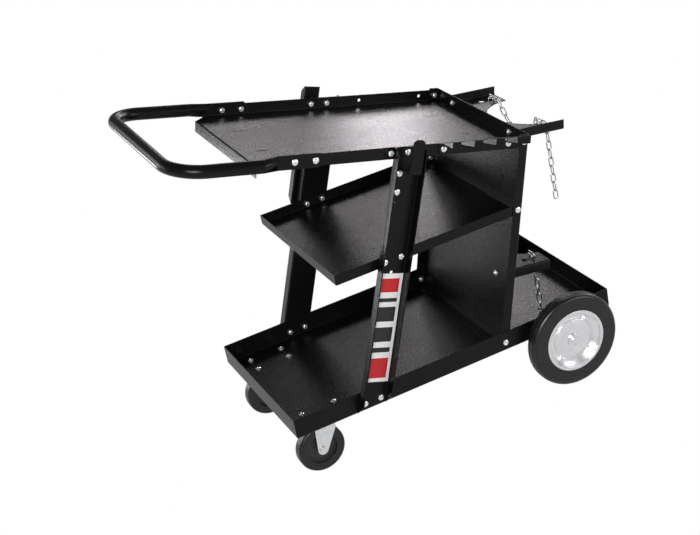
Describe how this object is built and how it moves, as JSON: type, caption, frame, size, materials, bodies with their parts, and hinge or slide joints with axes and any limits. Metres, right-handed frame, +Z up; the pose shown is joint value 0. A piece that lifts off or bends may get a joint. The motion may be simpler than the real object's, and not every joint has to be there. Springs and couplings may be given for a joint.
{
  "type": "welding cart",
  "caption": "Black sheet-steel welding cart with sloping top tray, shelf, bottom tray, tube handle, torch rack, chained cylinder brackets, fixed rear wheels and swivel casters.",
  "frame": {"origin": "on the floor, at the middle of the overall length and width", "axes": "+X from the handle towards the gas cylinder end, -Y the side with the torch rack, +Z up"},
  "size_m": [0.84, 0.45, 0.74],
  "materials": {
    "powder_coat": "fine-textured black powder coat, satin",
    "zinc_plate": "bright zinc plate",
    "bright_zinc": "polished zinc plate on pressed steel",
    "chain_steel": "zinc-plated wire",
    "rubber": "matte black rubber",
    "black_core": "moulded black plastic"
  },
  "bodies": {
    "cart": {"bottom_tray": "powder_coat", "middle_shelf": "powder_coat", "top_tray": "powder_coat", "rear_panel": "powder_coat", "front_post_near": "powder_coat", "front_post_far": "powder_coat", "handle": "powder_coat", "torch_rack": "powder_coat", "cable_hook": "powder_coat", "rod_pocket": "powder_coat", "upper_bracket": "powder_coat", "lower_bracket": "powder_coat", "axle_carrier_near": "powder_coat", "axle_carrier_far": "powder_coat", "rear_axle": "zinc_plate", "axle_washers": "zinc_plate", "axle_pins": "zinc_plate", "caster_plate_near": "zinc_plate", "caster_kingpin_near": "zinc_plate", "caster_plate_far": "zinc_plate", "caster_kingpin_far": "zinc_plate", "rail_screws": "zinc_plate", "rail_nuts": "zinc_plate", "shelf_screws": "zinc_plate", "shelf_nuts": "zinc_plate", "shelf_spacers": "zinc_plate", "tray_screws": "zinc_plate", "tray_nuts": "zinc_plate", "bracket_screws": "zinc_plate", "bracket_nuts": "zinc_plate", "hook_screws": "zinc_plate", "hook_nuts": "zinc_plate", "caster_screws": "zinc_plate", "caster_nuts": "zinc_plate", "upper_chain_ends": "chain_steel", "lower_chain_end": "chain_steel", "lower_chain_tail": "chain_steel"},
    "wheel_near": {"wheel_tyre_near": "rubber", "wheel_rim_outer_near": "bright_zinc", "wheel_rim_inner_near": "bright_zinc", "wheel_hub_near": "bright_zinc", "wheel_bolts_near": "zinc_plate"},
    "wheel_far": {"wheel_tyre_far": "rubber", "wheel_rim_outer_far": "bright_zinc", "wheel_rim_inner_far": "bright_zinc", "wheel_hub_far": "bright_zinc", "wheel_bolts_far": "zinc_plate"},
    "caster_fork_body_near": {"caster_fork_near": "zinc_plate", "caster_axle_near": "zinc_plate"},
    "caster_fork_body_far": {"caster_fork_far": "zinc_plate", "caster_axle_far": "zinc_plate"},
    "caster_wheel_near": {"caster_tyre_near": "rubber", "caster_core_near": "black_core"},
    "caster_wheel_far": {"caster_tyre_far": "rubber", "caster_core_far": "black_core"},
    "upper_chain_loop": {"upper_chain_span": "chain_steel"},
    "upper_chain_end": {"upper_chain_tail": "chain_steel"}
  },
  "joints": [
    {"name": "rear_wheel_near_spin", "type": "hinge", "parent": "cart", "child": "wheel_near", "pos_m": [0.31, -0.2095, 0.1], "axis": [0, 1, 0], "continuous": true},
    {"name": "rear_wheel_far_spin", "type": "hinge", "parent": "cart", "child": "wheel_far", "pos_m": [0.31, 0.2095, 0.1], "axis": [0, 1, 0], "continuous": true},
    {"name": "caster_near_swivel", "type": "hinge", "parent": "cart", "child": "caster_fork_body_near", "pos_m": [-0.224, -0.135, 0.1], "axis": [0, 0, 1], "continuous": true},
    {"name": "caster_far_swivel", "type": "hinge", "parent": "cart", "child": "caster_fork_body_far", "pos_m": [-0.224, 0.135, 0.1], "axis": [0, 0, 1], "continuous": true},
    {"name": "caster_near_wheel_spin", "type": "hinge", "parent": "caster_fork_body_near", "child": "caster_wheel_near", "pos_m": [-0.244, -0.135, 0.05], "axis": [0, 1, 0], "continuous": true},
    {"name": "caster_far_wheel_spin", "type": "hinge", "parent": "caster_fork_body_far", "child": "caster_wheel_far", "pos_m": [-0.244, 0.135, 0.05], "axis": [0, 1, 0], "continuous": true},
    {"name": "upper_chain_swing", "type": "hinge", "parent": "cart", "child": "upper_chain_loop", "pos_m": [0.3741, 0, 0.52678], "axis": [0, 1, 0], "range_deg": [-15, 15]},
    {"name": "upper_chain_end_swing", "type": "hinge", "parent": "cart", "child": "upper_chain_end", "pos_m": [0.3741, -0.11, 0.50772], "axis": [0, 1, 0], "range_deg": [-30, 30]}
  ]
}
